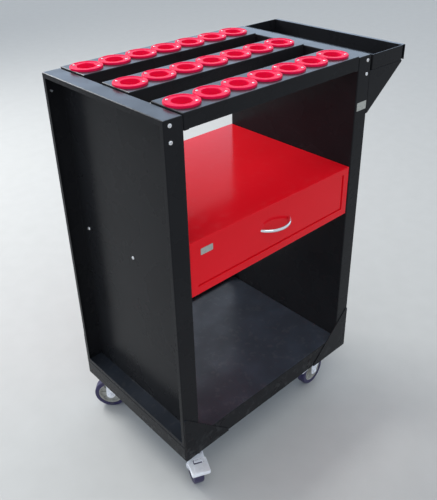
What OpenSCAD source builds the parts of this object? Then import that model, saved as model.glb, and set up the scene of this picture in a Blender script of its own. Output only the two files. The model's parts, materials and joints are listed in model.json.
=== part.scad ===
// Tool-holder trolley: two folded side pans, three rails of plastic taper sockets,
// a drawer cabinet, a bottom shelf, a hung side tray and four swivel casters.
// Pieces are laid out from the cabinet's left front corner on the floor: X to the
// right, Y to the back, Z up. placed() then moves the origin to the middle of the
// whole trolley's footprint. All sizes are in millimetres.

/* [Cabinet] */
// Width across the two side panels
cab_w = 660; // [660:5:760]
// Depth from front to back
cab_d = 460; // [450:5:520]
// Height of the side panels' top above the floor
cab_h = 1067; // [1040:1:1120]
// Width of each folded post, and depth of the side pans
post_w = 49; // [46:1:54]
// Sheet thickness of the frame
sheet = 1.5; // [1.2:0.1:1.8]
// Outer radius of the folds
fold_r = 2.5; // [2.2:0.1:3]
// Return lip at the outer edge of each pan
lip = 12; // [10:1:14]

/* [Base] */
// Height of the channels under the side panels
base_h = 48; // [44:1:56]
// Height of the bottom shelf's top above the underside of the base
shelf_h = 60; // [56:1:70]
// Foot of each corner gusset, along the base
gusset_w = 150; // [120:5:170]
// Height of each corner gusset
gusset_h = 145; // [110:5:160]

/* [Rails and sockets] */
// Depth of each rail
rail_d = 105; // [100:1:110]
// Height of a rail's front face
rail_h = 34.5; // [30:0.5:40]
// Height of the rails' top above the side panels
rail_rise = 3.5; // [2:0.5:6]
// Sockets in each rail
socket_n = 7; // [5:1:7]
// Distance between neighbouring sockets
socket_pitch = 80; // [80:0.5:80.5]
// Diameter of a socket's flange
flange_d = 79.4; // [76:0.1:79.6]
// Thickness of a socket's flange
flange_t = 5; // [4:0.5:6]
// Diameter of the mouth, for a 7/24 taper with a 44.45 gauge diameter
mouth_d = 44.6; // [44.5:0.1:45]
// Depth of a socket from the flange's top
socket_l = 56; // [50:1:58]

/* [Drawer cabinet] */
// Height of the drawer cabinet
box_h = 143; // [135:1:160]
// Height of the drawer cabinet's top below the side panels' top
box_drop = 294; // [240:1:320]
// Width of the frame's stiles and of its bottom edge
frame_w = 21; // [19:1:26]
// Width of the frame's top edge
frame_top = 17; // [14:1:22]
// Travel of the drawer
travel = 380; // [300:10:380]
// Distance between the ends of the bow handle
handle_c = 96; // [96, 128]
// How far the handle stands out, to the middle of its rod
handle_out = 26; // [22:1:30]
// Diameter of the handle's rod
rod_d = 9; // [8:0.5:10]

/* [Side tray] */
// Width of the tray, across its outer fold
tray_w = 145; // [120:5:160]
// Height of the tray's walls
tray_h = 40; // [35:1:45]
// Gap between the right post and the tray
tray_gap = 8; // [6:1:12]
// Width of the folded outer edge of the tray
hem_w = 12; // [10:1:14]

/* [Casters] */
// Height of the underside of the base above the floor
base_z = 131; // [129:1:135]
// Diameter of the wheels
wheel_d = 100; // [96:1:101]
// Width of the tyres
tyre_w = 28; // [24:1:29]
// Distance from a kingpin to the axle it trails
trail = 30; // [28:1:34]

/* [Hidden] */

// Colours
frame_black = "#26272b";
drawer_red = "#c01420";
socket_red = "#e8305c";
bright_steel = "#c9ccd1";
plate_grey = "#b9b9b2";
hub_grey = "#9a9b9d";
tyre_navy = "#27244a";

// The whole trolley's footprint: a pedal reaches past the front and the left of the
// cabinet, and a trailing rear wheel reaches past its back
front_reach = 45.3;
left_reach = 1;
rear_reach = 4;
origin_x = (cab_w + tray_gap + tray_w - left_reach) / 2;
origin_y = (cab_d + rear_reach - front_reach) / 2;

// Heights of the frame
panel_z = base_z + base_h;
shelf_z = base_z + shelf_h;
rail_z = cab_h + rail_rise;
box_z = cab_h - box_drop - box_h;
box_top = box_z + box_h;

// Rails: the row of three is spread evenly from front to back
rail_gap = 1;
rail_x = post_w + rail_gap;
rail_len = cab_w - 2 * rail_x;
rail_pitch = (cab_d - rail_d) / 2;
rail_tab_w = 13;
rail_tab_h = 2.5;

// Screws
screw_d = 5;
head_d = 9.5;
head_h = 2.6;
post_screw_x = 15;
post_screw_drops = [12, 47];
rail_screw_drop = 20;
rail_screw_y = 28;
web_screw_z = box_z + 7;
web_screw_ys = [35, 224, 425];
tray_bolt_drops = [72, 138];
tray_bolt_y = 6;

// Sockets
sleeve_d = 56;
land_l = 6;
taper = 7 / 24;
socket_screw_r = 31;
socket_screw_a = 130;

// Drawer cabinet
shell_y = 2;
skin = 1.2;
front_gap = 1;
front_y = shell_y + 3;
front_d = 15;
return_d = 14;
drawer_x = 84;
drawer_y = front_y + front_d;
drawer_back = cab_d - 20;
drawer_low = box_z + frame_w + 6;
drawer_high = box_top - frame_top - 10;
slide_y = 24;
slide_l = 400;
slide_z = (drawer_low + drawer_high) / 2;
slide_h = 45;
middle_h = 37;
inner_h = 26;
slide_depth = 11;
bracket_x = post_w + skin;
outer_x = post_w + frame_w + 1.5;
middle_x = outer_x + 2.6;
ball_r = 1.2;
ball_n = 6;
ball_step = 14;
handle_z = box_top - 62;
handle_x = (cab_w - 6) / 2;
handle_r = (handle_c * handle_c / 4 + handle_out * handle_out) / (2 * handle_out);
handle_half = asin(handle_c / 2 / handle_r);
handle_screw_d = 4;

// Side tray
tray_x = cab_w + tray_gap;
tray_top = cab_h - 2.5;
tray_z = tray_top - tray_h;
tray_brace_h = 113;
tray_brace_l = 142;
tray_bolt_xs = [50, 115];

// Casters
king_x = 65;
king_y = 60;
wheel_r = wheel_d / 2;
pad_t = 3;
plate_t = 2.5;
plate_s = 80;
plate_z = base_z - pad_t - plate_t;
bolt_at = 31;
bolt_d = 6;
bolt_hole_d = 6.4;
crown_z = base_z - 17.5;
crown_t = 2.5;
crown_r = 26;
race_r = 23;
race_h = 4;
king_r = 6;
run_gap = 0.05;
leg_in = 16;
leg_t = 2.5;
leg_r = 13;
axle_r = 4;
hub_r = 38;
pedal_y = -30;
pedal_z = 104;
pedal_in = leg_in + leg_t + 0.4;
pin_r = 2.5;
// Each caster: corner on X, corner on Y, resting turn about the kingpin
front_left = [0, 0, -24.3];
front_right = [1, 0, -85];
rear_left = [0, 1, -134];
rear_right = [1, 1, -128];
casters = [front_left, front_right, rear_left, rear_right];

module placed() translate([-origin_x, -origin_y, 0]) children();

// The same piece on the left and on the right
module both_sides() {
    children();
    right_hand() children();
}

module right_hand() translate([cab_w, 0, 0]) mirror([1, 0, 0]) children();

// The same piece at the front and at the back
module front_and_back() {
    children();
    translate([0, cab_d, 0]) mirror([0, 1, 0]) children();
}

module rounded_rect(w, h, r) {
    translate([r, 0]) square([w - 2 * r, h]);
    translate([0, r]) square([w, h - 2 * r]);
    for (x = [r, w - r], y = [r, h - r]) translate([x, y]) circle(r, $fn = 32);
}

// A block whose twelve edges are rounded
module soft_box(s, r) {
    intersection() {
        linear_extrude(s[2]) rounded_rect(s[0], s[1], r);
        translate([0, s[1], 0]) rotate([90, 0, 0]) linear_extrude(s[1]) rounded_rect(s[0], s[2], r);
        rotate([90, 0, 90]) linear_extrude(s[0]) rounded_rect(s[1], s[2], r);
    }
}

// A closed folded box of sheet metal: walls t thick, folds of radius r
module folded_box(s, t, r) {
    difference() {
        soft_box(s, r);
        translate([t, t, t]) soft_box([s[0] - 2 * t, s[1] - 2 * t, s[2] - 2 * t], r - t);
    }
}

// A pan-head screw: its head's underside is at the origin and its shank runs along +Z
module pan_screw(d, head, h, l) {
    rotate_extrude($fn = 32) {
        square([d / 2, l]);
        translate([0, -h]) polygon([[0, 0], [head * 0.3, 0], [head * 0.46, h * 0.4], [head / 2, h], [0, h]]);
    }
}

module along_x(x, y, z) translate([x, y, z]) rotate([0, 90, 0]) children();

module along_y(x, y, z) translate([x, y, z]) rotate([-90, 0, 0]) children();

// ---- Frame ----

module side_pan() {
    h = cab_h - panel_z;
    difference() {
        translate([0, 0, panel_z]) folded_box([post_w, cab_d, h], sheet, fold_r);
        translate([-1, lip, panel_z + lip]) cube([sheet + 2, cab_d - 2 * lip, h - 2 * lip]);
        front_and_back() for (drop = post_screw_drops)
            along_y(post_screw_x, -1, cab_h - drop) cylinder(d = screw_d, h = 5, $fn = 24);
        for (y = web_screw_ys) along_x(post_w - 3, y, web_screw_z) cylinder(d = screw_d, h = 5, $fn = 24);
        rail_screw_places() cylinder(d = screw_d, h = 5, $fn = 24);
    }
}

// Where the rails' end screws pass through a side panel
module rail_screw_places() {
    for (i = [0:2], side = [-1, 1])
        along_x(post_w - 3, i * rail_pitch + rail_d / 2 + side * rail_screw_y, cab_h - rail_screw_drop) children();
}

module left_side_panel() color(frame_black) placed() side_pan();

module right_side_panel() color(frame_black) placed() difference() {
    right_hand() side_pan();
    front_and_back() for (drop = tray_bolt_drops)
        along_x(cab_w - 3, tray_bolt_y, cab_h - drop) cylinder(d = screw_d, h = 5, $fn = 24);
}

module base_channel() difference() {
    translate([0, 0, base_z]) folded_box([post_w, cab_d, base_h], sheet, fold_r);
    translate([post_w - sheet - 1, sheet, base_z + sheet]) cube([4, cab_d - 2 * sheet, base_h - 2 * sheet]);
    for (c = [front_left, rear_left]) at_kingpin(c) bolt_places()
        translate([0, 0, base_z - 1]) cylinder(d = bolt_hole_d, h = sheet + 2, $fn = 24);
}

module left_base_channel() color(frame_black) placed() base_channel();

module right_base_channel() color(frame_black) placed() right_hand() base_channel();

module bottom_shelf() color(frame_black) placed() difference() {
    w = cab_w - 2 * post_w;
    translate([post_w, 0, base_z]) folded_box([w, cab_d, shelf_h], sheet, fold_r);
    translate([post_w + lip, lip, base_z - 1]) cube([w - 2 * lip, cab_d - 2 * lip, sheet + 2]);
}

module corner_gussets() {
    t = 2;
    toe = 8;
    color(frame_black) placed() both_sides() front_and_back() translate([0, 0, base_z]) rotate([90, 0, 0])
        linear_extrude(t) polygon([[1, 0], [gusset_w, 0], [gusset_w, toe], [1 + toe, gusset_h], [1, gusset_h]]);
}

module rail(i) difference() {
    translate([rail_x, i * rail_pitch, rail_z - rail_h - rail_tab_h])
        folded_box([rail_len, rail_d, rail_h + rail_tab_h], sheet, fold_r);
    // Open underside, and the shorter front and rear faces between the end tabs
    translate([rail_x + sheet, i * rail_pitch + sheet, rail_z - rail_h - rail_tab_h - 1])
        cube([rail_len - 2 * sheet, rail_d - 2 * sheet, fold_r + 1]);
    translate([rail_x + rail_tab_w, i * rail_pitch - 1, rail_z - rail_h - rail_tab_h - 1])
        cube([rail_len - 2 * rail_tab_w, rail_d + 2, rail_tab_h + 1]);
    both_sides() rail_screw_places() translate([0, 0, 1]) cylinder(d = screw_d, h = 8, $fn = 24);
    socket_places(i) {
        translate([0, 0, -10]) cylinder(d = sleeve_d + 0.6, h = 20, $fn = 64);
        socket_screw_places() translate([0, 0, -10]) cylinder(d = 3, h = 20, $fn = 24);
    }
}

module front_rail() color(frame_black) placed() rail(0);

module middle_rail() color(frame_black) placed() rail(1);

module rear_rail() color(frame_black) placed() rail(2);

module rail_screws() {
    color(bright_steel) placed() both_sides() rail_screw_places()
        translate([0, 0, 1.5]) pan_screw(screw_d, head_d, head_h, 10);
}

module post_screws() {
    color(bright_steel) placed() both_sides() front_and_back() for (drop = post_screw_drops)
        along_y(post_screw_x, 0, cab_h - drop) {
            pan_screw(screw_d, head_d, head_h, 9);
            translate([0, 0, sheet]) difference() {
                cylinder(d = 9, h = 4, $fn = 6);
                translate([0, 0, -1]) cylinder(d = screw_d, h = 6, $fn = 24);
            }
        }
}

module web_screws() {
    color(bright_steel) placed() both_sides() for (y = web_screw_ys)
        along_x(post_w - sheet, y, web_screw_z) pan_screw(screw_d, head_d, head_h, 8);
}

// ---- Sockets ----

module socket_places(i) {
    y = i * rail_pitch + rail_d / 2;
    for (n = [0:socket_n - 1])
        translate([cab_w / 2 + (n - (socket_n - 1) / 2) * socket_pitch, y, rail_z]) children();
}

module socket_screw_places() {
    for (a = [socket_screw_a, socket_screw_a + 180]) rotate(a) translate([socket_screw_r, 0, 0]) children();
}

// Half-section of one socket: a dished flange, a short straight mouth and a 7/24 taper
module socket_profile() {
    r = flange_d / 2;
    mouth = mouth_d / 2;
    deep = flange_t - socket_l;
    tail = mouth - (socket_l - land_l) * taper / 2;
    dish = 1.2;
    chamfer = 1;
    polygon([
        [mouth + chamfer, flange_t - dish], [r - 5.4, flange_t - dish], [r - 4, flange_t], [r - 1.5, flange_t],
        [r - 0.4, flange_t - 0.5], [r, flange_t - 1.6], [r, 0], [sleeve_d / 2, 0],
        [sleeve_d / 2 - 1, -12], [tail + 3.5, deep + 1], [tail + 2.5, deep], [tail, deep],
        [mouth, flange_t - dish - chamfer - land_l], [mouth, flange_t - dish - chamfer]
    ]);
}

module socket() difference() {
    rotate_extrude($fn = 96) socket_profile();
    socket_screw_places() translate([0, 0, -1]) cylinder(d = 3, h = 10, $fn = 24);
}

module front_sockets() color(socket_red) placed() socket_places(0) socket();

module middle_sockets() color(socket_red) placed() socket_places(1) socket();

module rear_sockets() color(socket_red) placed() socket_places(2) socket();

module socket_screws() {
    color(bright_steel) placed() for (i = [0:2]) socket_places(i) socket_screw_places()
        translate([0, 0, flange_t - 1.2]) rotate([180, 0, 0]) pan_screw(3, 6, 2, 9);
}

// ---- Drawer cabinet ----

// A closed red case whose drawer opening has a return folded inwards
module cabinet_shell() color(drawer_red) placed() difference() {
    w = cab_w - 2 * post_w;
    open_w = w - 2 * frame_w;
    open_h = box_h - frame_w - frame_top;
    union() {
        translate([post_w, shell_y, box_z]) folded_box([w, cab_d - shell_y, box_h], skin, fold_r);
        translate([post_w + frame_w - skin, shell_y, box_z + frame_w - skin])
            cube([open_w + 2 * skin, return_d, open_h + 2 * skin]);
    }
    translate([post_w + frame_w, -1, box_z + frame_w]) cube([open_w, return_d + 10, open_h]);
    both_sides() for (y = web_screw_ys)
        along_x(post_w - 2, y, web_screw_z) cylinder(d = screw_d, h = 5, $fn = 24);
}

// A channel along Y: its web is at x, its two flanges point to +X
module channel(x, h, t, depth) {
    translate([x, slide_y, slide_z - h / 2]) cube([t, slide_l, h]);
    for (z = [slide_z - h / 2, slide_z + h / 2 - t]) translate([x, slide_y, z]) cube([depth, slide_l, t]);
}

module runner_brackets() {
    color(frame_black) placed() both_sides() difference() {
        translate([bracket_x, slide_y, slide_z - slide_h / 2])
            cube([outer_x - bracket_x, slide_l, slide_h]);
        translate([bracket_x + skin, slide_y - 1, slide_z - slide_h / 2 + skin])
            cube([outer_x - bracket_x - 2 * skin, slide_l + 2, slide_h - 2 * skin]);
    }
}

module cabinet_runners() color(bright_steel) placed() both_sides() channel(outer_x, slide_h, skin, slide_depth);

module middle_runners() color(bright_steel) placed() both_sides() channel(middle_x, middle_h, skin, 7.5);

// The drawer's members face the other way, with their webs against the drawer
module drawer_runners() {
    color(bright_steel) placed() both_sides() translate([2 * drawer_x, 0, 0]) mirror([1, 0, 0])
        channel(drawer_x, inner_h, skin, 6.5);
}

// Balls above and below each middle member, between it and the fixed member
module runner_balls() {
    z_out = middle_h / 2 + ball_r;
    color(bright_steel) placed() both_sides() for (z = [slide_z - z_out, slide_z + z_out], n = [0:ball_n - 1])
        translate([middle_x + 4, slide_y + slide_l / 2 + n * ball_step, z]) sphere(ball_r, $fn = 24);
}

module drawer_box() color(frame_black) placed() difference() {
    s = [cab_w - 2 * drawer_x, drawer_back - drawer_y, drawer_high - drawer_low];
    translate([drawer_x, drawer_y, drawer_low]) cube(s);
    translate([drawer_x + skin, drawer_y + skin, drawer_low + skin])
        cube([s[0] - 2 * skin, s[1] - 2 * skin, s[2]]);
    handle_screw_holes();
}

module drawer_front() color(drawer_red) placed() difference() {
    w = cab_w - 2 * (post_w + frame_w + front_gap);
    h = box_h - frame_w - frame_top - 2 * front_gap;
    translate([post_w + frame_w + front_gap, front_y, box_z + frame_w + front_gap]) difference() {
        folded_box([w, front_d + 5, h], skin, 2);
        translate([-1, front_d, -1]) cube([w + 2, 10, h + 2]);
    }
    handle_screw_holes();
}

module handle_screw_holes() {
    for (side = [-1, 1]) along_y(handle_x + side * handle_c / 2, front_y - 1, handle_z)
        cylinder(d = handle_screw_d, h = front_d + 10, $fn = 24);
}

// A round rod bent to one arc, cut flush with the drawer front
module drawer_handle() color(bright_steel) placed() difference() {
    intersection() {
        translate([handle_x, front_y + handle_r - handle_out, handle_z])
            rotate_extrude($fn = 96) translate([handle_r, 0]) circle(d = rod_d, $fn = 32);
        translate([handle_x - handle_c, front_y - 2 * handle_out, handle_z - rod_d])
            cube([2 * handle_c, 2 * handle_out, 2 * rod_d]);
    }
    for (side = [-1, 1]) along_y(handle_x + side * handle_c / 2, front_y - 3, handle_z)
        cylinder(d = handle_screw_d, h = 4, $fn = 24);
}

module handle_screws() {
    color(bright_steel) placed() for (side = [-1, 1])
        translate([handle_x + side * handle_c / 2, drawer_y + skin, handle_z]) rotate([90, 0, 0])
            pan_screw(handle_screw_d, 8, 2.2, front_d + skin + 3);
}

module label(w, h) {
    translate([0, 0.8, 0]) rotate([90, 0, 0]) linear_extrude(0.8) rounded_rect(w, h, 1.5);
}

module drawer_label_plate() {
    color(plate_grey) placed() translate([post_w + 34, front_y - 0.8, box_top - 43]) label(36, 16.5);
}

module post_label_plate() color(plate_grey) placed() translate([cab_w - 43, -0.8, cab_h - 140]) label(38, 22);

// ---- Side tray ----

module side_tray() color(frame_black) placed() difference() {
    translate([tray_x, 0, tray_z]) soft_box([tray_w - hem_w, cab_d, tray_h + fold_r], 2.2);
    translate([tray_x + sheet, sheet, tray_z + sheet]) cube([tray_w - hem_w - 2 * sheet, cab_d - 2 * sheet, 60]);
    translate([tray_x - 1, -1, tray_top]) cube([tray_w + 2, cab_d + 2, 10]);
    for (y = [9, cab_d - 9], x = tray_bolt_xs)
        translate([tray_x + x, y, tray_z - 1]) cylinder(d = screw_d, h = 4, $fn = 24);
}

// The tray's outer edge: an angle strip, folded over and down beside the tray's outer wall
module tray_edge() color(frame_black) placed() intersection() {
    translate([tray_x + tray_w - hem_w, 0, tray_z]) cube([hem_w, cab_d, tray_h]);
    difference() {
        translate([tray_x + tray_w - 2 * hem_w, 0, tray_z]) soft_box([2 * hem_w, cab_d, tray_h], 2.2);
        translate([tray_x + tray_w - 3 * hem_w, -1, tray_z - 1]) cube([3 * hem_w - sheet, cab_d + 2, tray_h - sheet + 1]);
    }
}

// A triangular plate with a flange on the post and a flange under the tray
module tray_bracket() {
    t = 2;
    flange = 20;
    difference() {
        union() {
            translate([cab_w, t, tray_z]) rotate([90, 0, 0]) linear_extrude(t)
                polygon([[0, 0], [tray_brace_l, 0], [tray_brace_l, -4], [4, -tray_brace_h], [0, -tray_brace_h]]);
            translate([cab_w, 0, tray_z - tray_brace_h]) cube([t, flange, tray_brace_h]);
            translate([cab_w, 0, tray_z - t]) cube([tray_brace_l, flange, t]);
        }
        for (drop = tray_bolt_drops)
            along_x(cab_w - 1, tray_bolt_y, cab_h - drop) cylinder(d = screw_d, h = 5, $fn = 24);
        for (x = tray_bolt_xs)
            translate([tray_x + x, 9, tray_z - 4]) cylinder(d = screw_d, h = 8, $fn = 24);
    }
}

module tray_brackets() color(frame_black) placed() front_and_back() tray_bracket();

module tray_bolts() {
    color(bright_steel) placed() front_and_back() {
        for (drop = tray_bolt_drops)
            translate([cab_w + 2, tray_bolt_y, cab_h - drop]) rotate([0, -90, 0]) pan_screw(screw_d, 8, 2.4, 9);
        for (x = tray_bolt_xs)
            translate([tray_x + x, 9, tray_z + sheet]) rotate([180, 0, 0]) pan_screw(screw_d, 9, 2.4, 8);
    }
}

// ---- Casters ----

// Children are drawn about each kingpin, with +Y pointing away from the trailing wheel
module at_kingpin(c) {
    translate([c[0] * cab_w + (1 - 2 * c[0]) * king_x, c[1] * cab_d + (1 - 2 * c[1]) * king_y, 0]) children();
}

module turned(c) at_kingpin(c) rotate(c[2]) children();

module square_plate(s, t, r) {
    translate([-s / 2, -s / 2, 0]) linear_extrude(t) rounded_rect(s, s, r);
}

module bolt_places() for (x = [-1, 1], y = [-1, 1]) translate([x * bolt_at, y * bolt_at, 0]) children();

module caster_pads() color(frame_black) placed() for (c = casters) at_kingpin(c) difference() {
    translate([0, 0, base_z - pad_t]) square_plate(96, pad_t, 4);
    bolt_places() translate([0, 0, base_z - pad_t - 1]) cylinder(d = bolt_hole_d, h = pad_t + 2, $fn = 24);
}

module caster_plates() color(bright_steel) placed() for (c = casters) at_kingpin(c) difference() {
    union() {
        translate([0, 0, plate_z]) square_plate(plate_s, plate_t, 8);
        translate([0, 0, plate_z - 5]) cylinder(r1 = race_r + 1, r2 = race_r + 5, h = 5, $fn = 64);
    }
    translate([0, 0, plate_z - 6]) cylinder(r = king_r + run_gap, h = 12, $fn = 48);
    bolt_places() translate([0, 0, plate_z - 1]) cylinder(d = bolt_hole_d, h = plate_t + 2, $fn = 24);
}

module caster_bolts() color(bright_steel) placed() for (c = casters) at_kingpin(c) bolt_places() {
    translate([0, 0, plate_z - 4]) cylinder(d = 11, h = 4, $fn = 6);
    translate([0, 0, plate_z - 4]) cylinder(d = bolt_d, h = plate_t + pad_t + 8, $fn = 24);
}

module caster_races() color(bright_steel) placed() for (c = casters) at_kingpin(c)
    translate([0, 0, plate_z - 5 - race_h]) difference() {
        cylinder(r = race_r, h = race_h, $fn = 64);
        translate([0, 0, -1]) cylinder(r = king_r + run_gap, h = race_h + 2, $fn = 48);
    }

module kingpins() color(bright_steel) placed() for (c = casters) at_kingpin(c) {
    translate([0, 0, crown_z - 0.3]) cylinder(r = king_r, h = base_z - pad_t - crown_z + 0.3, $fn = 48);
    translate([0, 0, crown_z - 0.3 - 5]) cylinder(r = 10, h = 5, $fn = 48);
}

module leg_shape() {
    translate([-trail, wheel_r]) circle(leg_r, $fn = 48);
    polygon([
        [-trail - leg_r, wheel_r], [-trail + leg_r * 0.8, wheel_r - leg_r * 0.6],
        [20, crown_z - 4], [20, crown_z + crown_t], [-38, crown_z + crown_t], [-40, crown_z - 10]
    ]);
}

module fork(c, braked) turned(c) difference() {
    union() {
        translate([0, 0, crown_z]) cylinder(r = crown_r, h = crown_t, $fn = 64);
        translate([-leg_in - 1, -38, crown_z]) cube([2 * leg_in + 2, 58, crown_t]);
        for (x = [-leg_in - leg_t, leg_in])
            translate([x, 0, 0]) rotate([90, 0, 90]) linear_extrude(leg_t) leg_shape();
    }
    translate([0, 0, crown_z - 1]) cylinder(r = king_r + run_gap, h = crown_t + 2, $fn = 48);
    along_x(-30, -trail, wheel_r) cylinder(r = axle_r + run_gap, h = 60, $fn = 48);
    if (braked) along_x(-30, pedal_y, pedal_z) cylinder(r = pin_r, h = 60, $fn = 32);
}

module front_left_fork() color(bright_steel) placed() fork(front_left, true);

module front_right_fork() color(bright_steel) placed() fork(front_right, true);

module rear_left_fork() color(bright_steel) placed() fork(rear_left, false);

module rear_right_fork() color(bright_steel) placed() fork(rear_right, false);

module axle(c) {
    out = leg_in + leg_t;
    turned(c) translate([0, -trail, wheel_r]) rotate([0, 90, 0]) {
        translate([0, 0, -out - 4.5]) cylinder(r = axle_r, h = 2 * out + 10, $fn = 48);
        translate([0, 0, -out - 4.5]) cylinder(r = 7, h = 4.5, $fn = 6);
        translate([0, 0, out]) cylinder(r = 7, h = 4.5, $fn = 6);
    }
}

module front_left_axle() color(bright_steel) placed() axle(front_left);

module front_right_axle() color(bright_steel) placed() axle(front_right);

module rear_left_axle() color(bright_steel) placed() axle(rear_left);

module rear_right_axle() color(bright_steel) placed() axle(rear_right);

module about_axle(c) turned(c) translate([0, -trail, wheel_r]) rotate([0, 90, 0]) children();

// A dished hub: rim, thin web and boss
module hub(c) {
    boss_w = 2 * leg_in - 1;
    rim_w = tyre_w - 4;
    web_w = 8;
    about_axle(c) rotate_extrude($fn = 96) difference() {
        translate([axle_r + run_gap, -boss_w / 2]) square([hub_r - axle_r - run_gap, boss_w]);
        for (side = [-1, 1]) {
            translate([11, side > 0 ? web_w / 2 : -web_w / 2 - 20]) square([hub_r - 11 - 4, 20]);
            translate([hub_r - 5, side > 0 ? rim_w / 2 : -rim_w / 2 - 20]) square([10, 20]);
        }
    }
}

module front_left_hub() color(hub_grey) placed() hub(front_left);

module front_right_hub() color(hub_grey) placed() hub(front_right);

module rear_left_hub() color(hub_grey) placed() hub(rear_left);

module rear_right_hub() color(hub_grey) placed() hub(rear_right);

// A tyre with rounded shoulders
module tyre(c) {
    shoulder = 4;
    about_axle(c) rotate_extrude($fn = 96) difference() {
        translate([hub_r, -tyre_w / 2]) square([wheel_r - hub_r, tyre_w]);
        for (side = [-1, 1]) difference() {
            translate([wheel_r - shoulder, side > 0 ? tyre_w / 2 - shoulder : -tyre_w / 2 - 1])
                square([shoulder + 1, shoulder + 1]);
            translate([wheel_r - shoulder, side * (tyre_w / 2 - shoulder)]) circle(shoulder, $fn = 32);
        }
    }
}

module front_left_tyre() color(tyre_navy) placed() tyre(front_left);

module front_right_tyre() color(tyre_navy) placed() tyre(front_right);

module rear_left_tyre() color(tyre_navy) placed() tyre(rear_left);

module rear_right_tyre() color(tyre_navy) placed() tyre(rear_right);

// A stamped pedal: two ears on the pin and a short slope between them carry a level, flanged
// plate that reaches past the tyre. A tongue lies in its window, over the tyre.
module pedal(c) turned(c) translate([0, pedal_y, pedal_z]) difference() {
    t = 2;
    low = -8;
    plate_w = 51;
    plate_back = -24;
    plate_l = 50;
    side = plate_w / 2;
    front = plate_back - plate_l;
    skirt = 9;
    ear_back = 5;
    ear_l = 39;
    window = [29, 14.5];
    window_at = [-12, -41];
    tongue_at = [-9, -36];
    tongue = [28, 7.5];
    slope_end = [-14, -3.5];
    union() {
        for (x = [-pedal_in - t, pedal_in]) translate([x, ear_back - ear_l, low]) cube([t, ear_l, ear_back - low]);
        difference() {
            translate([-side, front, low]) cube([plate_w, plate_l, t]);
            translate([window_at[0], window_at[1], low - 1]) cube([window[0], window[1], t + 2]);
        }
        translate([tongue_at[0], tongue_at[1], low]) cube([tongue[0], tongue[1], t]);
        translate([-pedal_in - t, 0, 0]) rotate([90, 0, 90]) linear_extrude(2 * (pedal_in + t))
            polygon([[plate_back, low], slope_end, slope_end + [0, t], [plate_back, low + t]]);
        for (x = [-side, side - t]) translate([x, front, low + t - skirt]) cube([t, plate_l, skirt]);
        translate([-side, front, low + t - skirt]) cube([plate_w, t, skirt]);
    }
    along_x(-30, 0, 0) cylinder(r = pin_r + run_gap, h = 60, $fn = 32);
}

module front_left_pedal() color(bright_steel) placed() pedal(front_left);

module front_right_pedal() color(bright_steel) placed() pedal(front_right);

module pedal_pin(c) turned(c) along_x(-pedal_in - 4, pedal_y, pedal_z) {
    cylinder(r = pin_r, h = 2 * pedal_in + 8, $fn = 32);
    cylinder(r = 4, h = 1.6, $fn = 32);
    translate([0, 0, 2 * pedal_in + 6.4]) cylinder(r = 4, h = 1.6, $fn = 32);
}

module pedal_pins_left() color(bright_steel) placed() pedal_pin(front_left);

module pedal_pins_right() color(bright_steel) placed() pedal_pin(front_right);

left_side_panel();
right_side_panel();
left_base_channel();
right_base_channel();
bottom_shelf();
corner_gussets();
front_rail();
middle_rail();
rear_rail();
rail_screws();
post_screws();
web_screws();
front_sockets();
middle_sockets();
rear_sockets();
socket_screws();
cabinet_shell();
runner_brackets();
cabinet_runners();
middle_runners();
runner_balls();
drawer_runners();
drawer_box();
drawer_front();
drawer_handle();
handle_screws();
drawer_label_plate();
post_label_plate();
side_tray();
tray_edge();
tray_brackets();
tray_bolts();
caster_pads();
caster_plates();
caster_bolts();
caster_races();
kingpins();
front_left_fork();
front_right_fork();
rear_left_fork();
rear_right_fork();
front_left_axle();
front_right_axle();
rear_left_axle();
rear_right_axle();
front_left_hub();
front_right_hub();
rear_left_hub();
rear_right_hub();
front_left_tyre();
front_right_tyre();
rear_left_tyre();
rear_right_tyre();
front_left_pedal();
front_right_pedal();
pedal_pins_left();
pedal_pins_right();
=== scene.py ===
"""Looks of a tool-holder trolley: powder-coated frame, red drawer cabinet, red taper sockets, zinc casters."""

import json
import math

import bmesh
import bpy
from mathutils import Matrix, Vector


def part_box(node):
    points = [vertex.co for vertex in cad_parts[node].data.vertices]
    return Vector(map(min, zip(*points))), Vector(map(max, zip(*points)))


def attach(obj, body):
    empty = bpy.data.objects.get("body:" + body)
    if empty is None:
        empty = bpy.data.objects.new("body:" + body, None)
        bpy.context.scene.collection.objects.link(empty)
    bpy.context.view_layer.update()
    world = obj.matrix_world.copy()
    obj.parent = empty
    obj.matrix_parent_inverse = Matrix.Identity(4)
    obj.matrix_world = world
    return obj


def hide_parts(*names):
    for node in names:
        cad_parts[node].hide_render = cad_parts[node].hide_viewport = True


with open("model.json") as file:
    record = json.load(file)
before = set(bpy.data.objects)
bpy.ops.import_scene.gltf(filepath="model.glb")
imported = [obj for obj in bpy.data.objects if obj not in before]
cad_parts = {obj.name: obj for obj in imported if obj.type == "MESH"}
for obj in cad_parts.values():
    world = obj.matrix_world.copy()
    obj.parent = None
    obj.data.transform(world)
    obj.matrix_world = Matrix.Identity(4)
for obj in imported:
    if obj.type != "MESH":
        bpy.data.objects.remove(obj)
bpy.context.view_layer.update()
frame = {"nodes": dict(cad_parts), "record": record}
MM = 0.001


# ---- Materials ----


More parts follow.
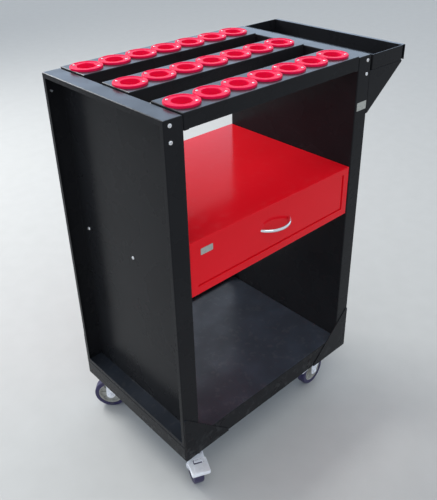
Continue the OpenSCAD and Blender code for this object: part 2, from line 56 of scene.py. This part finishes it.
class Value:
    """One output in a material. Arithmetic on it adds Math nodes."""

    def __init__(self, paint, socket):
        self.paint = paint
        self.socket = socket

    def math(self, operation, *operands):
        inputs = dict(enumerate(operands))
        return self.paint.add("ShaderNodeMath", {"operation": operation}, inputs)

    def __add__(self, other):
        return self.math("ADD", self, other)

    def __radd__(self, other):
        return self.math("ADD", other, self)

    def __sub__(self, other):
        return self.math("SUBTRACT", self, other)

    def __rsub__(self, other):
        return self.math("SUBTRACT", other, self)

    def __mul__(self, other):
        return self.math("MULTIPLY", self, other)

    def __rmul__(self, other):
        return self.math("MULTIPLY", other, self)

    def size(self):
        return self.math("ABSOLUTE", self)

    def between(self, low, high):
        """0 below low, 1 above high, and smooth in between."""
        inputs = {"Value": self, "From Min": low, "From Max": high}
        return self.paint.add("ShaderNodeMapRange", {"interpolation_type": "SMOOTHSTEP"}, inputs)


class Paint:
    """A material and the nodes that feed its shader."""

    def __init__(self, name):
        self.material = bpy.data.materials.new(name)
        self.material.use_nodes = True
        self.tree = self.material.node_tree
        self.shader = self.tree.nodes["Principled BSDF"]
        self.place = self.add("ShaderNodeTexCoord", output="Object")

    def add(self, kind, settings=None, inputs=None, output=0):
        node = self.tree.nodes.new(kind)
        for name, value in (settings or {}).items():
            setattr(node, name, value)
        for name, value in (inputs or {}).items():
            self.feed(node.inputs[name], value)
        return Value(self, node.outputs[output])

    def feed(self, socket, value):
        if isinstance(value, Value):
            self.tree.links.new(value.socket, socket)
        else:
            socket.default_value = value

    def noise(self, scale, detail=3, stretch=None, distortion=0.0):
        """Noise from 0 to 1 with about scale features to the metre."""
        place = self.place
        if stretch:
            place = self.add("ShaderNodeVectorMath", {"operation": "MULTIPLY"}, {0: place, 1: stretch})
        inputs = {"Vector": place, "Scale": scale, "Detail": detail, "Distortion": distortion}
        return self.add("ShaderNodeTexNoise", None, inputs)

    def cells(self, scale):
        """Distance to the nearest of scattered points, about scale of them to the metre."""
        inputs = {"Vector": self.place, "Scale": scale}
        return self.add("ShaderNodeTexVoronoi", {"feature": "F1"}, inputs, "Distance")

    def mix(self, factor, below, above):
        """Colour below where factor is 0 and above where it is 1."""
        inputs = {0: factor, 6: below, 7: above}
        return self.add("ShaderNodeMix", {"data_type": "RGBA"}, inputs, 2)

    def facing_up(self):
        """1 on faces that look up, 0 on upright and downward ones."""
        normal = self.add("ShaderNodeNewGeometry", output="Normal")
        height = self.add("ShaderNodeSeparateXYZ", None, {0: normal}, "Z")
        return height.between(0.7, 0.98)

    def height_above_floor(self):
        return self.add("ShaderNodeSeparateXYZ", None, {0: self.place}, "Z")

    def bump(self, height, depth, below=None):
        """Surface relief of that depth in metres."""
        inputs = {"Height": height, "Distance": depth, "Strength": 1.0}
        if below is not None:
            inputs["Normal"] = below
        return self.add("ShaderNodeBump", None, inputs)

    def finish(self, **sockets):
        for name, value in sockets.items():
            self.feed(self.shader.inputs[name.replace("_", " ")], value)
        return self.material


def rgb(red, green, blue):
    return (red, green, blue, 1.0)


def scratches(paint, scale, stretch, thickness):
    """Thin lines where a drawn-out noise crosses its middle value, in scattered patches."""
    from_middle = (paint.noise(scale, 1, stretch, 0.4) - 0.5).size()
    patches = paint.noise(7, 2).between(0.52, 0.68)
    return (1 - from_middle.between(0, thickness)) * patches


def powder_black():
    """Semi-gloss black powder coat: orange peel, cloudy gloss, a bluish film on top that is dust and painted sheen,
    scuffs near the floor.
    """
    p = Paint("powder_black")
    clouds = p.noise(9, 4)
    peel = p.noise(420, 2) * 0.7 + p.noise(1300, 1) * 0.3
    # This mask of upward faces carries both a dust film and a painted sheen of the sky
    dust = p.facing_up() * (0.55 + p.noise(14, 6).between(0.3, 0.9) * 0.45)
    low = 1 - p.height_above_floor().between(0.10, 0.24)
    scuff = low * p.noise(60, 5).between(0.56, 0.66)
    rub = scratches(p, 30, (1, 1, 9), 0.012)
    coat = p.mix(clouds, rgb(0.0120, 0.0120, 0.0130), rgb(0.0185, 0.0186, 0.0203))
    # Upward faces are mixed towards pale blue: partly dust, partly painted sheen
    dusty = p.mix(dust * 0.25, coat, rgb(0.085, 0.120, 0.180))
    scuffed = p.mix(scuff * 0.35 + rub * 0.25, dusty, rgb(0.10, 0.10, 0.10))
    gloss = 0.25 + clouds * 0.05 + dust * 0.04 + scuff * 0.15
    return p.finish(Base_Color=scuffed, Roughness=gloss, Normal=p.bump(peel, 0.00005), IOR=1.17,
                    Coat_Weight=dust * 0.9, Coat_Roughness=0.24)


def gloss_red():
    """Gloss red paint on sheet metal: deep colour, faint orange peel, a little polishing haze."""
    p = Paint("gloss_red")
    clouds = p.noise(6, 3)
    haze = p.noise(120, 4).between(0.45, 0.8)
    peel = p.noise(260, 2) * 0.7 + p.noise(30, 2) * 0.9
    dust = p.facing_up() * p.noise(40, 5).between(0.5, 0.85)
    coat = p.mix(clouds, rgb(0.82, 0.006, 0.014), rgb(0.90, 0.009, 0.021))
    dusty = p.mix(dust * 0.04, coat, rgb(0.80, 0.25, 0.24))
    gloss = 0.13 + haze * 0.05 + dust * 0.10
    return p.finish(Base_Color=dusty, Roughness=gloss, Normal=p.bump(peel, 0.00005), Specular_IOR_Level=0.15)


def socket_red():
    """Gloss moulded plastic: turning lines from the tool, flow clouds, fine scuffs at the mouth."""
    p = Paint("socket_red")
    flow = p.noise(24, 3, None, 0.6)
    grain = p.noise(900, 2)
    scuff = p.facing_up() * p.noise(150, 4).between(0.58, 0.72)
    body = p.mix(flow, rgb(0.88, 0.005, 0.055), rgb(0.98, 0.012, 0.090))
    worn = p.mix(scuff * 0.2, body, rgb(0.95, 0.14, 0.22))
    gloss = 0.26 + flow * 0.08 + scuff * 0.15
    return p.finish(Base_Color=worn, Roughness=gloss, Normal=p.bump(grain, 0.00002),
                    Subsurface_Weight=0.06, Subsurface_Scale=0.002, Specular_IOR_Level=0.05)


def zinc_plate(name="zinc_plate", tint=(0.93, 0.95, 1.0), rough=0.34, metallic=0.2):
    """Blue-white zinc on pressed steel: faint passivation colours, spangle, rub marks."""
    p = Paint(name)
    spangle = p.cells(260).between(0.0, 0.9)
    film = p.noise(45, 3)
    tarnish = p.noise(30, 5).between(0.55, 0.75)
    red, green, blue = tint
    metal = p.mix(film, rgb(red, green, blue), rgb(red * 1.04, green, blue * 0.95))
    dull = p.mix(tarnish * 0.4, metal, rgb(red * 0.62, green * 0.62, blue * 0.62))
    gloss = rough + spangle * 0.08 + tarnish * 0.18
    return p.finish(Base_Color=dull, Metallic=metallic, Roughness=gloss, Normal=p.bump(p.noise(700, 2), 0.000015))


def rolled_steel():
    """Rolled slide members: long drawing lines and a thin film of grease."""
    p = Paint("rolled_steel")
    lines = p.noise(900, 2, (1, 0.012, 1))
    grease = p.noise(26, 4).between(0.55, 0.72)
    metal = p.mix(lines, rgb(0.50, 0.51, 0.53), rgb(0.66, 0.67, 0.69))
    greasy = p.mix(grease * 0.6, metal, rgb(0.30, 0.29, 0.25))
    gloss = 0.30 + lines * 0.14 - grease * 0.12
    return p.finish(Base_Color=greasy, Metallic=1.0, Roughness=gloss, Normal=p.bump(lines, 0.00001))


def chrome():
    """Polished chrome with fine wiping marks and faint finger film."""
    p = Paint("chrome")
    film = p.noise(90, 4).between(0.45, 0.8)
    wipes = p.noise(1500, 2, (0.1, 1, 1))
    metal = p.mix(film, rgb(0.86, 0.86, 0.88), rgb(0.78, 0.78, 0.80))
    return p.finish(Base_Color=metal, Metallic=1.0, Roughness=0.05 + film * 0.09 + wipes * 0.03,
                    Normal=p.bump(wipes, 0.000003))


def satin_plate():
    """Blank satin plate: a brushed grain along its length."""
    p = Paint("satin_plate")
    brush = p.noise(2600, 2, (0.03, 1, 1))
    stain = p.noise(160, 4).between(0.5, 0.75)
    metal = p.mix(brush, rgb(0.40, 0.40, 0.36), rgb(0.56, 0.56, 0.51))
    aged = p.mix(stain * 0.5, metal, rgb(0.22, 0.22, 0.20))
    return p.finish(Base_Color=aged, Metallic=0.35, Roughness=0.42 + brush * 0.12, Normal=p.bump(brush, 0.00001))


def grey_nylon():
    """Moulded nylon hub: matt, speckled, dusty in the recess."""
    p = Paint("grey_nylon")
    speckle = p.noise(600, 3)
    dirt = p.noise(70, 5).between(0.45, 0.7)
    body = p.mix(speckle, rgb(0.40, 0.385, 0.34), rgb(0.47, 0.455, 0.41))
    dirty = p.mix(dirt * 0.35, body, rgb(0.20, 0.19, 0.165))
    return p.finish(Base_Color=dirty, Roughness=0.48 + dirt * 0.2, Normal=p.bump(speckle, 0.00004))


def navy_rubber():
    """Dark blue tyre: satin rubber with a rubbed, dusty running face."""
    p = Paint("navy_rubber")
    grain = p.noise(800, 3)
    dust = p.noise(90, 5).between(0.42, 0.72)
    low = 1 - p.height_above_floor().between(0.0, 0.03)
    body = p.mix(grain, rgb(0.018, 0.012, 0.062), rgb(0.030, 0.022, 0.095))
    dusty = p.mix(dust * (0.18 + low * 0.3), body, rgb(0.16, 0.15, 0.14))
    return p.finish(Base_Color=dusty, Roughness=0.40 + dust * 0.22, Normal=p.bump(grain, 0.00005))


FINISH = {
    "frame_black": powder_black(),
    "drawer_red": gloss_red(),
    "socket_red": socket_red(),
    "bright_screw": zinc_plate("bright_screw", (0.86, 0.87, 0.89), 0.22, 0.7),
    "slide_steel": rolled_steel(),
    "chrome": chrome(),
    "plate_grey": satin_plate(),
    "zinc": zinc_plate(),
    "hub_grey": grey_nylon(),
    "tyre_navy": navy_rubber(),
}

SLOT = {part["node"]: part["material_slot"] for part in frame["record"]["subparts"]}


def dress(obj, slot):
    obj.data.materials.clear()
    obj.data.materials.append(FINISH[slot])


for node, obj in frame["nodes"].items():
    dress(obj, SLOT[node])

# ---- Pieces with finer detail than the CAD nodes they stand for ----


SHARP_ANGLE = math.radians(38)


class Shape:
    """Points and faces gathered for one piece."""

    def __init__(self):
        self.points = []
        self.faces = []

    def skin(self, rings, place, loop=False):
        """Joins rings of equally many points. In a loop the last ring joins the first; if not, both ends close."""
        count = len(rings[0])
        start = len(self.points)
        for ring in rings:
            self.points += [place @ Vector(point) for point in ring]
        steps = len(rings) if loop else len(rings) - 1
        for step in range(steps):
            a = start + step * count
            b = start + (step + 1) % len(rings) * count
            for i in range(count):
                j = (i + 1) % count
                self.faces.append((a + i, a + j, b + j, b + i))
        if not loop:
            last = start + (len(rings) - 1) * count
            self.faces.append(tuple(range(start + count - 1, start - 1, -1)))
            self.faces.append(tuple(range(last, last + count)))

    def slab(self, outline, thickness, place, edge=0.3 * MM):
        """A flat plate with its rim eased on both faces."""
        middle = [sum(axis) / len(outline) for axis in zip(*outline)]

        def rim(z, inset):
            points = []
            for x, y in outline:
                away = Vector((x - middle[0], y - middle[1]))
                x, y = Vector((x, y)) - away.normalized() * inset
                points.append((x, y, z))
            return points

        self.skin([rim(0, edge), rim(edge, 0), rim(thickness - edge, 0), rim(thickness, edge)], place)

    def piece(self, node, slot_name):
        """Makes the gathered shape the piece that stands for a CAD node."""
        name = node + "_detail"
        mesh = bpy.data.meshes.new(name)
        mesh.from_pydata(self.points, [], self.faces)
        bm = bmesh.new()
        bm.from_mesh(mesh)
        bmesh.ops.recalc_face_normals(bm, faces=bm.faces)
        bm.to_mesh(mesh)
        bm.free()
        mesh.polygons.foreach_set("use_smooth", [True] * len(mesh.polygons))
        mesh.set_sharp_from_angle(angle=SHARP_ANGLE)
        obj = bpy.data.objects.new(name, mesh)
        bpy.context.collection.objects.link(obj)
        dress(obj, slot_name)
        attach(obj, BODY[node])
        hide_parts(node)


BODY = {node: body for body, nodes in frame["record"]["behaviour"]["bodies"].items() for node in nodes}
JOINT = {joint["name"]: joint for joint in frame["record"]["behaviour"]["joints"]}


def ring(radius, z, count=36):
    """A ring whose radius is a number or a function of the angle."""
    angles = [2 * math.pi * i / count for i in range(count)]
    reach = radius if callable(radius) else (lambda angle: radius)
    return [(reach(a) * math.cos(a), reach(a) * math.sin(a), z) for a in angles]


def cross(arm, half_width):
    """A cross-shaped outline, as a radius by angle."""
    def reach(angle):
        off = abs((angle + math.pi / 4) % (math.pi / 2) - math.pi / 4)
        return min(arm / math.cos(off), half_width / max(math.sin(off), 1e-6))
    return reach


def hexagon(corner_radius, limit=1.0):
    """A hexagon as a radius by angle, with its corners cut round at limit."""
    def reach(angle):
        off = abs((angle + math.pi / 6) % (math.pi / 3) - math.pi / 6)
        return min(corner_radius * math.cos(math.pi / 6) / math.cos(math.pi / 6 - off), corner_radius * limit)
    return reach


def shank(radius, length):
    """The rings of a shank that runs down from the head and ends in a small chamfer."""
    return [ring(radius, 0), ring(radius, -length + 0.4 * MM), ring(radius - 0.3 * MM, -length)]


def pan_head(shape, place, radius, height, shank_radius, length):
    """A domed head with a cross recess; its underside is at the origin and the shank runs along -Z."""
    recess = [ring(cross(radius * 0.30, radius * 0.09), height * 0.30),
              ring(cross(radius * 0.46, radius * 0.15), height * 0.97)]
    dome = [ring(radius * out, height * up)
            for out, up in ((0.56, 1), (0.74, 0.93), (0.88, 0.76), (0.97, 0.48), (1, 0.18), (0.98, 0))]
    shape.skin(recess + dome + shank(shank_radius, length), place)


def hex_head(shape, place, corner_radius, height, shank_radius, length):
    """A hexagon head with its corners chamfered round and a washer face below."""
    rings = [ring(corner_radius * 0.80, height)]
    for cut, up in ((0.93, 0.94), (0.985, 0.80), (1, 0.66), (1, 0.08)):
        rings.append(ring(hexagon(corner_radius, cut), height * up))
    rings.append(ring(corner_radius * 0.85, 0))
    shape.skin(rings + shank(shank_radius, length), place)


def hex_nut(shape, place, corner_radius, height):
    """A chamfered nut that stands on the origin."""
    bore = corner_radius * 0.56
    rings = [ring(bore, 0), ring(corner_radius * 0.82, 0)]
    for cut, up in ((0.95, 0.1), (1, 0.3), (1, 0.7), (0.95, 0.9)):
        rings.append(ring(hexagon(corner_radius, cut), height * up))
    shape.skin(rings + [ring(corner_radius * 0.82, height), ring(bore, height)], place, loop=True)


def solids(node):
    """The points of each separate solid in a CAD node."""
    bm = bmesh.new()
    bm.from_mesh(frame["nodes"][node].data)
    bmesh.ops.remove_doubles(bm, verts=bm.verts, dist=1e-6)
    seen, found = set(), []
    for first in bm.verts:
        if first in seen:
            continue
        seen.add(first)
        queue, points = [first], []
        while queue:
            vert = queue.pop()
            points.append(vert.co.copy())
            for edge in vert.link_edges:
                other = edge.other_vert(vert)
                if other not in seen:
                    seen.add(other)
                    queue.append(other)
        found.append(points)
    bm.free()
    return found


def fasteners(node, slot_name, head):
    """Redraws each screw, bolt or nut of a CAD node at its own place, size and direction."""
    shape = Shape()
    for points in solids(node):
        low = Vector([min(p[i] for p in points) for i in range(3)])
        high = Vector([max(p[i] for p in points) for i in range(3)])
        base, sizes = (low + high) / 2, list(high - low)
        narrow, middling, longest = sorted(sizes)
        is_nut = middling > 1.5 * narrow
        axis = sizes.index(narrow if is_nut else longest)
        others = [i for i in range(3) if i != axis]
        reach = [(math.hypot(*(p[i] - base[i] for i in others)), p[axis]) for p in points]
        wide = max(off for off, along in reach)
        seat = [along for off, along in reach if off > wide - 0.02 * MM]
        upward = is_nut or sum(seat) / len(seat) > base[axis]
        top, under, tip = (high[axis], min(seat), low[axis]) if upward else (low[axis], max(seat), high[axis])
        outward = Vector((0, 0, 0))
        outward[axis] = 1 if upward else -1
        base[axis] = low[axis] if is_nut else under
        place = Matrix.Translation(base) @ outward.to_track_quat("Z", "Y").to_matrix().to_4x4()
        if is_nut:
            hex_nut(shape, place, wide, narrow)
        else:
            shank_radius = max(off for off, along in reach if abs(along - tip) < 0.1 * MM)
            head(shape, place, wide, abs(top - under), shank_radius, abs(under - tip))
    shape.piece(node, slot_name)


for node in ("post_screws", "web_screws", "rail_screws", "socket_screws", "handle_screws", "tray_bolts"):
    fasteners(node, "bright_screw", pan_head)
fasteners("caster_bolts", "bright_screw", hex_head)


def joint_place(name):
    """A hinge's own frame: origin on its axis, X along the axis and Z up."""
    joint = JOINT[name]
    along = Vector(joint["axis"]).normalized()
    back = Vector((0, 0, 1)).cross(along)
    turn = Matrix((along, back, Vector((0, 0, 1)))).transposed().to_4x4()
    return Matrix.Translation(Vector(joint["pos_m"])) @ turn


def build_hub(corner_name):
    """A moulded hub: boss, dished web with ribs on both sides, and a rim with a bead."""
    place = joint_place(corner_name + "_roll") @ Matrix.Rotation(math.pi / 2, 4, "Y")
    bore, half_boss, rib_count = 4.2, 15.4, 8
    boss = [(bore, -half_boss), (bore, half_boss), (9.2, half_boss), (10.2, 14.6)]
    web = [(11.4, 7), (13.5, 4.6), (29.5, 4.0), (32.6, 5.4)]
    rim = [(33.6, 10.6), (34.6, 12.2), (37.2, 12.2), (37.98, 11.4)]
    outline = boss + web + rim
    outline += [(r, -z) for r, z in reversed(outline[2:])]
    shape = Shape()
    shape.skin([ring(r * MM, z * MM, 72) for r, z in outline], place, loop=True)
    rib = [(10.5, -1.1), (33.4, -0.9), (33.4, 0.9), (10.5, 1.1)]
    for low, high in ((-8.2, -3.5), (3.5, 8.2)):
        for spoke in range(rib_count):
            turn = Matrix.Rotation(spoke * 2 * math.pi / rib_count, 4, "Z")
            shape.skin([[(x * MM, y * MM, z * MM) for x, y in rib] for z in (low, high)], place @ turn)
    shape.piece(corner_name + "_hub", "hub_grey")


for corner_name in ("front_left", "front_right", "rear_left", "rear_right"):
    build_hub(corner_name)


def rounded_rectangle(x0, x1, y0, y1, radius, height):
    """A ring round a rectangle with round corners, in millimetres, always with as many points. The height is a
    number or a function of y."""
    steps = 8
    points = []
    corners = ((x1 - radius, y1 - radius, 0), (x0 + radius, y1 - radius, 90),
               (x0 + radius, y0 + radius, 180), (x1 - radius, y0 + radius, 270))
    for k, (cx, cy, start) in enumerate(corners):
        arc = [(cx + radius * math.cos(math.radians(start + a)), cy + radius * math.sin(math.radians(start + a)))
               for a in range(0, 91, 15)]
        points += arc
        nx, ny, begin = corners[(k + 1) % 4]
        to = (nx + radius * math.cos(math.radians(begin)), ny + radius * math.sin(math.radians(begin)))
        x, y = arc[-1]
        points += [(x + (to[0] - x) * t / steps, y + (to[1] - y) * t / steps) for t in range(1, steps)]
    return [(x * MM, y * MM, (height(y) if callable(height) else height) * MM) for x, y in points]


def build_pedal(corner_name):
    """A pressed pedal: rolled skirts at the front and sides, a window with a tongue, a raised tread, ears
    and a slope up to the pin."""
    place = joint_place(corner_name + "_brake_tilt")
    x0, x1, y0, y1, top, sheet = -25.5, 25.5, -74.0, -24.0, -6.0, 2.0
    roll, corner_radius = 1.8, 5

    def skirt(y):
        """The skirt's lower edge drops over a short stretch in front of the wheel."""
        return -8.1 - 6.9 * min(1, max(0, (-26 - y) / 9))

    def outer(inset, height):
        return rounded_rectangle(x0 + inset, x1 - inset, y0 + inset, y1 - inset, corner_radius - inset, height)

    def window(grow, height):
        return rounded_rectangle(-12 - grow, 17 + grow, -41 - grow, -26.5 + grow, 2.2 + grow, height)

    rings = [outer(0.3, skirt), outer(0, lambda y: min(skirt(y) + 0.3, top - roll))]
    for step in range(5):
        angle = step / 4 * math.pi / 2
        rings.append(outer(roll * (1 - math.cos(angle)), top - roll + roll * math.sin(angle)))
    rings += [window(0.8, top), window(0.2, top - 0.25), window(0, top - 0.8), window(0, top - sheet),
              outer(sheet, top - sheet), outer(sheet, lambda y: min(skirt(y) + 0.3, top - sheet - 0.05)),
              outer(sheet - 0.3, skirt)]
    shape = Shape()
    shape.skin(rings, place, loop=True)
    tongue = [(-7.5, -36), (18, -36), (18, -28.5), (-7.5, -28.5), (-9, -29.4), (-9.8, -31), (-9.8, -33.5), (-9, -35.1)]
    under = place @ Matrix.Translation((0, 0, (top - sheet) * MM))
    shape.slab([(x * MM, y * MM) for x, y in tongue], sheet * MM, under)
    tread = []
    for height, inset in ((-0.2, 0), (0.35, 0.1), (0.75, 0.5), (0.9, 1.2)):
        tread.append(rounded_rectangle(-15 + inset, 10.5 - inset, -71 + inset, -44 - inset, 2.5 - inset, top + height))
    shape.skin(tread, place)

    def side_on(outline, x, width, edge):
        """A slab whose outline is seen from the side and which runs from x to the right."""
        turn = Matrix(((0, 0, 1, x * MM), (1, 0, 0, 0), (0, 1, 0, 0), (0, 0, 0, 1)))
        shape.slab([(y * MM, z * MM) for y, z in outline], width * MM, place @ turn, edge * MM)

    slope = [(-26, -6.3), (-24, -6.1), (-14.3, -1.6), (-13.8, -2.2), (-13.9, -3.3), (-24, -7.9), (-26, -7.9)]
    side_on(slope, -20.5, 41, 0.05)
    ear = [(-34, -8), (-34, -6.4), (-14, 1.5), (-4.5, 4.4)]
    ear += [(5 * math.sin(math.radians(a)), 5 * math.cos(math.radians(a))) for a in range(0, 181, 20)]
    ear += [(-9, -8)]
    for x in (-20.9, 18.9):
        side_on(ear, x, sheet, 0.3)
    shape.piece(corner_name + "_pedal", "zinc")


build_pedal("front_left")
build_pedal("front_right")


def build_shelf(lip_height=12 * MM, thickness=2.4 * MM, fold=2.5 * MM):
    """The folded shelf, with the low lip that stands up along its rear edge."""
    low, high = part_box("bottom_shelf")
    mesh = frame["nodes"]["bottom_shelf"].data
    shape = Shape()
    shape.points = [vert.co.copy() for vert in mesh.vertices]
    shape.faces = [tuple(face.vertices) for face in mesh.polygons]
    back, top, root = high[1] - fold, high[2] + lip_height, high[2] - thickness / 2
    ease = thickness / 2
    side = [(back, root), (back, top - ease), (back - 0.15 * ease, top - 0.4 * ease), (back - ease, top),
            (back - 1.85 * ease, top - 0.4 * ease), (back - thickness, top - ease), (back - thickness, root)]
    ends = [[(x, y, z) for y, z in side] for x in (low[0] + 0.5 * MM, high[0] - 0.5 * MM)]
    shape.skin(ends, Matrix.Identity(4))
    shape.piece("bottom_shelf", "frame_black")


build_shelf()

# ---- Camera, floor and light ----

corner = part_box("left_side_panel")[0]
CAMERA_AT = Vector((corner[0] - 0.6623, corner[1] - 0.8913, 1.4854))
AZIMUTH, ELEVATION, ROLL = (math.radians(a) for a in (-42.752, 29.119, -0.943))
FOCUS, CENTRE_X, CENTRE_Y = 624.49, 227.70, 212.56
WIDE, HIGH = 437, 500


def place_camera():
    back = Vector((math.sin(AZIMUTH) * math.cos(ELEVATION), -math.cos(AZIMUTH) * math.cos(ELEVATION),
                   math.sin(ELEVATION)))
    level = (-back).cross(Vector((0, 0, 1))).normalized()
    upward = level.cross(-back)
    right = level * math.cos(ROLL) + upward * math.sin(ROLL)
    up = upward * math.cos(ROLL) - level * math.sin(ROLL)
    camera = bpy.data.objects.new("camera", bpy.data.cameras.new("camera"))
    bpy.context.collection.objects.link(camera)
    turn = Matrix((right, up, back)).transposed().to_4x4()
    camera.matrix_world = Matrix.Translation(CAMERA_AT) @ turn
    camera.data.sensor_width = 36
    camera.data.lens = FOCUS * 36 / HIGH
    camera.data.shift_x = (WIDE / 2 - CENTRE_X) / HIGH
    camera.data.shift_y = (CENTRE_Y - HIGH / 2) / HIGH
    camera.data.clip_start, camera.data.clip_end = 0.05, 60
    bpy.context.scene.camera = camera


def soft_light(name, at, toward, size, power):
    lamp = bpy.data.lights.new(name, "AREA")
    lamp.shape = "RECTANGLE"
    lamp.size, lamp.size_y = size
    lamp.energy = power
    obj = bpy.data.objects.new(name, lamp)
    bpy.context.collection.objects.link(obj)
    obj.location = at
    obj.rotation_euler = (Vector(at) - Vector(toward)).to_track_quat("Z", "Y").to_euler()


def build_floor():
    mesh = bpy.data.meshes.new("studio_floor")
    bm = bmesh.new()
    bmesh.ops.create_grid(bm, x_segments=8, y_segments=8, size=9)
    bm.to_mesh(mesh)
    bm.free()
    floor = bpy.data.objects.new("studio_floor", mesh)
    bpy.context.collection.objects.link(floor)
    p = Paint("studio_floor")
    grain = p.noise(14, 5)
    colour = p.mix(grain, rgb(0.55, 0.55, 0.53), rgb(0.60, 0.60, 0.58))
    floor.data.materials.append(p.finish(Base_Color=colour, Roughness=0.7, Normal=p.bump(p.noise(120, 4), 0.0002)))


def light_world():
    world = bpy.data.worlds.new("studio")
    world.use_nodes = True
    bpy.context.scene.world = world
    tree = world.node_tree
    background = tree.nodes["Background"]
    coords = tree.nodes.new("ShaderNodeTexCoord")
    split = tree.nodes.new("ShaderNodeSeparateXYZ")
    ramp = tree.nodes.new("ShaderNodeValToRGB")
    tree.links.new(coords.outputs["Generated"], split.inputs[0])
    tree.links.new(split.outputs["Z"], ramp.inputs["Fac"])
    # The sky in front is dimmer, so that upright fronts stay darker than level tops
    near_side = tree.nodes.new("ShaderNodeMapRange")
    near_side.inputs["From Min"].default_value, near_side.inputs["From Max"].default_value = -0.6, 0.2
    near_side.inputs["To Min"].default_value, near_side.inputs["To Max"].default_value = 0.76, 1.0
    tree.links.new(split.outputs["Y"], near_side.inputs["Value"])
    dim = tree.nodes.new("ShaderNodeVectorMath")
    dim.operation = "SCALE"
    tree.links.new(ramp.outputs["Color"], dim.inputs[0])
    tree.links.new(near_side.outputs["Result"], dim.inputs["Scale"])
    tree.links.new(dim.outputs["Vector"], background.inputs["Color"])
    first, last = ramp.color_ramp.elements
    first.position, first.color = 0.0, rgb(0.78, 0.78, 0.76)
    last.position, last.color = 1.0, rgb(0.90, 0.90, 0.90)
    # A bright band low in the sky gives the level tops their sheen
    for place, colour in ((0.18, rgb(1.10, 1.36, 1.72)), (0.34, rgb(1.10, 1.38, 1.76)), (0.46, rgb(0.52, 0.56, 0.62))):
        ramp.color_ramp.elements.new(place).color = colour
    background.inputs["Strength"].default_value = 1.0


place_camera()
build_floor()
light_world()
soft_light("key_panel", (-1.0, -1.8, 3.8), (0, 0, 0.6), (1.8, 1.8), 13)
soft_light("back_panel", (-0.6, 3.2, 2.9), (0, 0, 0.7), (1.8, 1.2), 100)
soft_light("edge_panel", (-2.2, 3.0, 2.6), (0, 0, 0.8), (0.9, 1.6), 6)
bpy.context.scene.view_settings.view_transform = "Standard"
